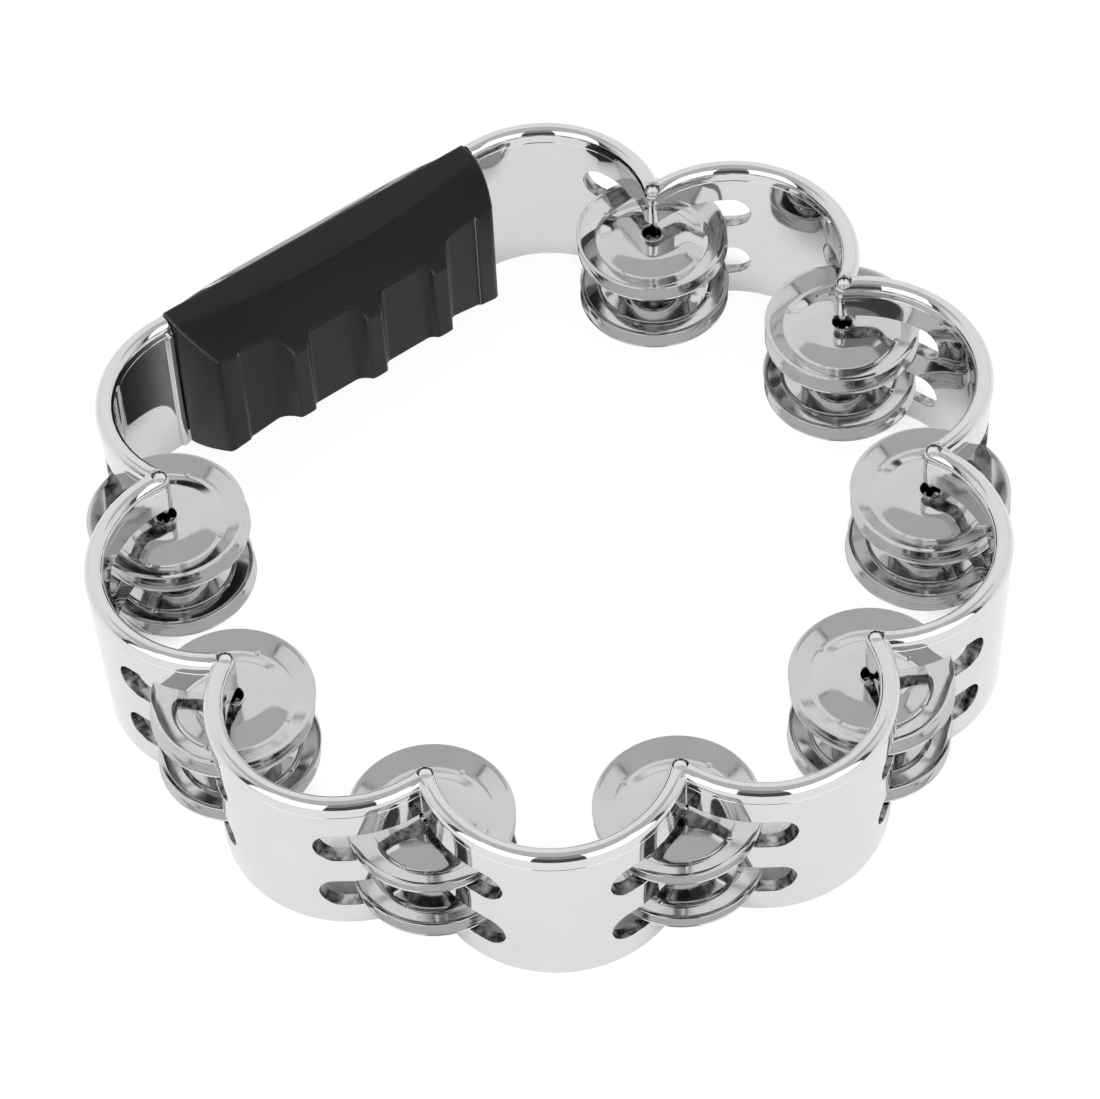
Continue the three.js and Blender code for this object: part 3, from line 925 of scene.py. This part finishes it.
def jingleFinish():  # bright plated sheet: rolling lines one way, cloudy handling haze
    finish, tree, shader = newFinish("jingle_sheet")
    shader.inputs["Metallic"].default_value = 1
    cloud = noiseNode(tree, scale=90, detail=4)
    colour = tint(tree, cloud, "Fac", darker=(0.58, 0.577, 0.57), lighter=(0.67, 0.667, 0.66))
    link(tree, colour, "Color", shader, "Base Color")
    rolled = noiseNode(tree, scale=700, detail=4, stretch=(0.05, 1, 1))
    rough = spread(tree, rolled, "Fac", low=0.3, high=0.7, lowOut=0.07, highOut=0.13)
    link(tree, rough, "Result", shader, "Roughness")
    waves = noiseNode(tree, scale=110, detail=1)
    waveBump = bumpNode(tree, waves, "Fac", strength=0.12, depth=0.0002)
    lineBump = bumpNode(tree, rolled, "Fac", strength=0.06, depth=0.00004, under=waveBump)
    link(tree, lineBump, "Normal", shader, "Normal")
    return finish


def placeJingle(number, tier, side, mesh):
    node = f"jingle_{number}_{tier}_{side}"
    low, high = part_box(node)
    piece = bpy.data.objects.new(f"disc_{number}_{tier}_{side}", mesh)
    bpy.context.scene.collection.objects.link(piece)
    away = polar(jingle["shift"] * random.random(), random.uniform(0, 2 * math.pi))
    tilt = math.radians(jingle["lean"]) * random.random()
    spin = math.radians(90 * random.randrange(4) + random.uniform(-jingle["spin"], jingle["spin"]))
    leanAxis = polar(1, random.uniform(0, 2 * math.pi)).to_3d()
    if (tier, side) == ("high", "top"):
        towards, aside = jingle["topShifts"][number]
        away = (cameraSide * towards + cameraRight * aside) * mm
    over = math.pi if side == "bottom" else 0
    spot = pinSpots[number - 1] + away
    height = high.z if side == "bottom" else low.z
    turn = Matrix.Rotation(over, 4, "X") @ Matrix.Rotation(spin, 4, "Z")
    lean = Matrix.Rotation(tilt, 4, leanAxis)
    piece.matrix_world = Matrix.Translation((*spot, height)) @ (lean @ turn)
    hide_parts(node)
    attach(piece, node)


pattern = turned("disc_pattern", jingleOutline(), jingle["steps"])
evenNormals(pattern, jingle["flatWeight"])
addPips(pattern)
pattern.data.materials.append(jingleFinish())
jingleMesh = pattern.data
bpy.data.objects.remove(pattern)
for number in range(1, pinCount + 1):
    for tier in ("high", "low"):
        for side in ("bottom", "top"):
            placeJingle(number, tier, side, jingleMesh)
print("jingles placed")

# Studio: white floor with painted shadow and shade near the object, pale surroundings, two softboxes beside
# the camera with a dark gap between
studio = dict(
    floorSize=6.0,
    floorWhite=0.85,
    floorSeen=0.95,  # the floor's own light in the picture
    floorShade=0.1,  # and how much of the object's shadow is left there
    floorMirrored=0.82,  # its own light in the metal's reflections
    mirroredShade=0.25,
    nookReach=0.022,  # painted shade: how near the object the floor's own light is darkened in the reflections
    nookRange=(0.1, 0.5),
    nookLeft=0.4,
    shadowReach=0.038,  # a painted shadow: the floor's own light is darkened where the two softboxes' shadow falls behind the walls and discs
    shadowLift=38,  # their light comes down at this angle, in degrees
    shadowRange=(0.3, 0.5),
    shadowLeft=0.05,
    panelDistance=1.6,
    panelSteps=8,
    softAzimuth=(17, 66),
    softElevation=(4, 58),
    softStrength=1.45,
    flagElevation=(4, 38),
    edgeAzimuth=(66, 74),
    gapAzimuth=(-17, 17),
    darkStrength=0.08,
    stripAzimuth=(120, 240),  # a thin grey line behind the object
    stripElevation=(20, 22),
    stripStrength=0.4,
    # a grey card overhead with dark edges, in metres: far and near of the ring, half width, height
    cardReach=(-0.67, 0.65),
    cardHalf=0.95,
    cardEdge=0.05,
    cardHeight=1.5,
    cardStrength=0.58,
    # the surroundings' light from behind the object, over it and round to the camera
    surroundings=((0, 1.0), (0.2, 0.95), (0.5, 0.9), (0.68, 0.32), (1, 0.3)),
)
towardsCamera = math.atan2(cameraSide.y, cameraSide.x)


def addFloor():
    half = studio["floorSize"] / 2
    corners = [(-half, -half, 0), (half, -half, 0), (half, half, 0), (-half, half, 0)]
    floor = makePiece("floor", corners, [(0, 1, 2, 3)])
    finish = bpy.data.materials.new("white_floor")
    finish.use_nodes = True
    tree = finish.node_tree
    tree.nodes.clear()
    path = tree.nodes.new("ShaderNodeLightPath")
    out = tree.nodes.new("ShaderNodeOutputMaterial")

    def lit(strength, white, shadow=None):  # a floor with some light of its own
        glow = tree.nodes.new("ShaderNodeEmission")
        glow.inputs["Strength"].default_value = strength
        if shadow:
            link(tree, shadow, "Result", glow, "Color")
        shade = tree.nodes.new("ShaderNodeBsdfDiffuse")
        shade.inputs["Color"].default_value = (white, white, white, 1)
        both = tree.nodes.new("ShaderNodeAddShader")
        link(tree, glow, "Emission", both, 0)
        link(tree, shade, "BSDF", both, 1)
        return both

    def shelter(reach, limits, left):  # how open the floor is, from what is left in the nooks to 1; used to paint shadow and shade into the floor's own light
        node = tree.nodes.new("ShaderNodeAmbientOcclusion")
        node.inputs["Distance"].default_value = reach
        return node, spread(tree, node, "AO", *limits, left, 1)

    # painted shadow: the floor's own light in the picture is darkened by occlusion towards the softboxes
    lift = math.radians(studio["shadowLift"])
    softWay = tree.nodes.new("ShaderNodeCombineXYZ")
    softWay.inputs["X"].default_value = cameraSide.x * math.cos(lift)
    softWay.inputs["Y"].default_value = cameraSide.y * math.cos(lift)
    softWay.inputs["Z"].default_value = math.sin(lift)
    behind, shadow = shelter(studio["shadowReach"], studio["shadowRange"], studio["shadowLeft"])
    link(tree, softWay, "Vector", behind, "Normal")
    # painted shade: near the object the floor's own light in the reflections is darkened
    nook = shelter(studio["nookReach"], studio["nookRange"], studio["nookLeft"])[1]
    surface = lit(0, studio["floorWhite"])
    mirrored = lit(studio["floorMirrored"], studio["mirroredShade"], nook)
    seen = lit(studio["floorSeen"], studio["floorShade"], shadow)
    rays = (("Is Glossy Ray", mirrored), ("Is Transmission Ray", mirrored), ("Is Camera Ray", seen))
    for ray, shown in rays:
        mix = tree.nodes.new("ShaderNodeMixShader")
        link(tree, path, ray, mix, "Fac")
        tree.links.new(surface.outputs[0], mix.inputs[1])
        tree.links.new(shown.outputs[0], mix.inputs[2])
        surface = mix
    link(tree, surface, "Shader", out, "Surface")
    floor.data.materials.append(finish)


def glowing(piece, strength):  # an even light, unseen by the camera
    finish = bpy.data.materials.new(piece.name)
    finish.use_nodes = True
    tree = finish.node_tree
    tree.nodes.clear()
    glow = tree.nodes.new("ShaderNodeEmission")
    glow.inputs["Strength"].default_value = strength
    out = tree.nodes.new("ShaderNodeOutputMaterial")
    link(tree, glow, "Emission", out, "Surface")
    piece.data.materials.append(finish)
    piece.visible_camera = False


def addCard(name, nearest, farthest, strength):  # a flat card overhead, between two sideways reaches
    points = []
    for towards in studio["cardReach"]:
        for aside in (nearest, farthest):
            points.append((*(cameraSide * towards + cameraRight * aside), studio["cardHeight"]))
    glowing(makePiece(name, points, [(0, 1, 3, 2)]), strength)


def addPanel(name, azimuths, elevations, strength):  # a curved card round the object
    steps = studio["panelSteps"]
    points = []
    for i in range(steps + 1):
        for j in range(steps + 1):
            around = towardsCamera + math.radians(azimuths[0] + (azimuths[1] - azimuths[0]) * i / steps)
            above = math.radians(elevations[0] + (elevations[1] - elevations[0]) * j / steps)
            reach = studio["panelDistance"]
            points.append((*polar(reach * math.cos(above), around), reach * math.sin(above)))
    row = steps + 1
    faces = []
    for i in range(steps):
        for j in range(steps):
            faces.append((i * row + j, (i + 1) * row + j, (i + 1) * row + j + 1, i * row + j + 1))
    glowing(makePiece(name, points, faces), strength)


def addWorld():  # bright behind the object, dim on the camera's side, white to the camera itself
    world = bpy.data.worlds.new("studio")
    bpy.context.scene.world = world
    world.use_nodes = True
    tree = world.node_tree
    tree.nodes.clear()
    place = tree.nodes.new("ShaderNodeTexCoord")
    turn = tree.nodes.new("ShaderNodeVectorRotate")
    turn.rotation_type = "Z_AXIS"
    turn.inputs["Angle"].default_value = -towardsCamera
    split = tree.nodes.new("ShaderNodeSeparateXYZ")
    link(tree, place, "Generated", turn, "Vector")
    link(tree, turn, "Vector", split, "Vector")
    depth = spread(tree, split, "X", low=-1, high=1, lowOut=0, highOut=1)
    ramp = tree.nodes.new("ShaderNodeValToRGB")
    stops = ramp.color_ramp.elements
    for spot, light in studio["surroundings"]:
        stop = stops[0] if spot == 0 else stops[-1] if spot == 1 else stops.new(spot)
        stop.color = (light, light, light, 1)
    link(tree, depth, "Result", ramp, "Fac")
    path = tree.nodes.new("ShaderNodeLightPath")
    glow = tree.nodes.new("ShaderNodeBackground")
    white = tree.nodes.new("ShaderNodeBackground")
    white.inputs["Color"].default_value = (1, 1, 1, 1)
    mix = tree.nodes.new("ShaderNodeMixShader")
    out = tree.nodes.new("ShaderNodeOutputWorld")
    link(tree, ramp, "Color", glow, "Color")
    link(tree, path, "Is Camera Ray", mix, "Fac")
    link(tree, glow, "Background", mix, 1)
    link(tree, white, "Background", mix, 2)
    link(tree, mix, "Shader", out, "Surface")


addFloor()
soft = studio["softAzimuth"]
edge = studio["edgeAzimuth"]
addPanel("softbox_left", (-soft[1], -soft[0]), studio["softElevation"], studio["softStrength"])
addPanel("softbox_right", soft, studio["softElevation"], studio["softStrength"])
addPanel("flag_middle", studio["gapAzimuth"], studio["flagElevation"], studio["darkStrength"])
addPanel("flag_left", (-edge[1], -edge[0]), studio["flagElevation"], studio["darkStrength"])
addPanel("flag_right", edge, studio["flagElevation"], studio["darkStrength"])
addPanel("far_strip", studio["stripAzimuth"], studio["stripElevation"], studio["stripStrength"])
half = studio["cardHalf"]
rim = half + studio["cardEdge"]
addCard("card_overhead", -half, half, studio["cardStrength"])
addCard("card_edge_left", -rim, -half, studio["darkStrength"])
addCard("card_edge_right", half, rim, studio["darkStrength"])
addWorld()
bpy.context.scene.view_settings.view_transform = "Standard"
print("studio lit")
